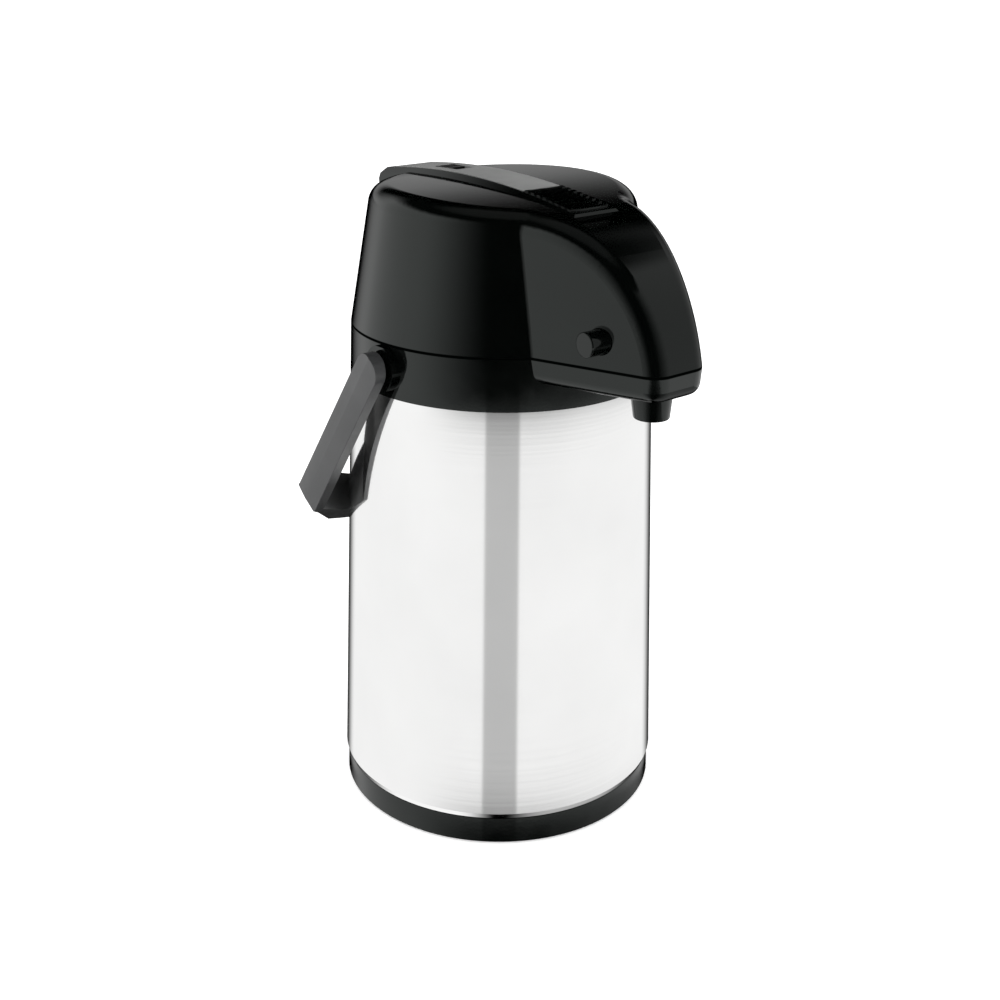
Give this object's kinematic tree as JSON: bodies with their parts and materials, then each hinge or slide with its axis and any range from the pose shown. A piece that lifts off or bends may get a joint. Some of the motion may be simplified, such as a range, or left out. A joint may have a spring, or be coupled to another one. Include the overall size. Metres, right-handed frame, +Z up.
{
  "type": "airpot",
  "caption": "Lever-pump vacuum airpot: steel casing, glass flask, hinged lid with a forward nose, down-facing spout and a swinging carrying handle.",
  "frame": {"origin": "centre of the foot ring, on the surface the pot stands on", "axes": "+Z up along the casing's axis, -Y towards the spout, +X to the pot's left side as seen from its front"},
  "size_m": [0.186, 0.226, 0.3093],
  "materials": {
    "casing_steel": "polished",
    "black_gloss": "gloss",
    "black_matte": "matte",
    "grey_matte": "fine grain",
    "handle_satin": "satin",
    "tube_plastic": "translucent white",
    "spacer_pad": "matte",
    "flask_glass": "silvered",
    "pin_steel": "plain",
    "foot_rubber": "matte",
    "seal_rubber": "matte",
    "bellows_rubber": "matte"
  },
  "bodies": {
    "vessel": {"foot_ring": "foot_rubber", "base_cup": "black_gloss", "bottom_cap": "black_matte", "flask_rest": "foot_rubber", "casing": "casing_steel", "flask_outer": "flask_glass", "flask_inner": "flask_glass", "flask_spacers": "spacer_pad", "neck_gasket": "seal_rubber", "collar": "black_gloss", "lid_hinge_pin": "pin_steel", "pivot_pin_left": "pin_steel", "pivot_pin_right": "pin_steel", "tube_holder": "black_matte", "dip_tube": "tube_plastic", "delivery_tube": "tube_plastic", "spout_nozzle": "black_matte"},
    "lid": {"lid_shell": "black_gloss", "lid_plate": "black_matte", "mouth_gasket": "seal_rubber", "lid_screws": "pin_steel", "bellows": "bellows_rubber", "pump_spring": "pin_steel", "button_spring": "pin_steel"},
    "plunger": {"plunger": "tube_plastic"},
    "lever": {"lever": "black_gloss", "lever_inlay": "grey_matte", "lever_pin": "pin_steel"},
    "lock": {"lock_slider": "grey_matte"},
    "handle": {"handle": "handle_satin"},
    "button": {"release_button": "black_gloss"}
  },
  "joints": [
    {"name": "lid_hinge", "type": "hinge", "parent": "vessel", "child": "lid", "pos_m": [0, 0.0845, 0.2345], "axis": [-1, 0, 0], "range_deg": [0, 95]},
    {"name": "lever_press", "type": "hinge", "parent": "lid", "child": "lever", "pos_m": [0, 0.079, 0.2965], "axis": [1, 0, 0], "range_deg": [0, 12], "stiffness_Nm_per_rad": 2, "springref_deg": -20.05},
    {"name": "plunger_slide", "type": "slide", "parent": "lid", "child": "plunger", "axis": [0, 0, -1], "range_m": [0, 0.0166], "deforming": ["bellows", "pump_spring"]},
    {"name": "lock_slide", "type": "slide", "parent": "lever", "child": "lock", "axis": [0, -1, 0], "range_m": [0, 0.009]},
    {"name": "button_push", "type": "slide", "parent": "lid", "child": "button", "axis": [1, 0, 0], "range_m": [0, 0.004], "stiffness_N_per_m": 250, "springref_m": -0.006, "deforming": ["button_spring"]},
    {"name": "handle_swing", "type": "hinge", "parent": "vessel", "child": "handle", "pos_m": [0, -0.005, 0.222], "axis": [1, 0, 0], "range_deg": [0, 150]}
  ],
  "couplings": [
    {"joint": "plunger_slide", "follows": "lever_press", "m_per_rad": 0.079}
  ]
}
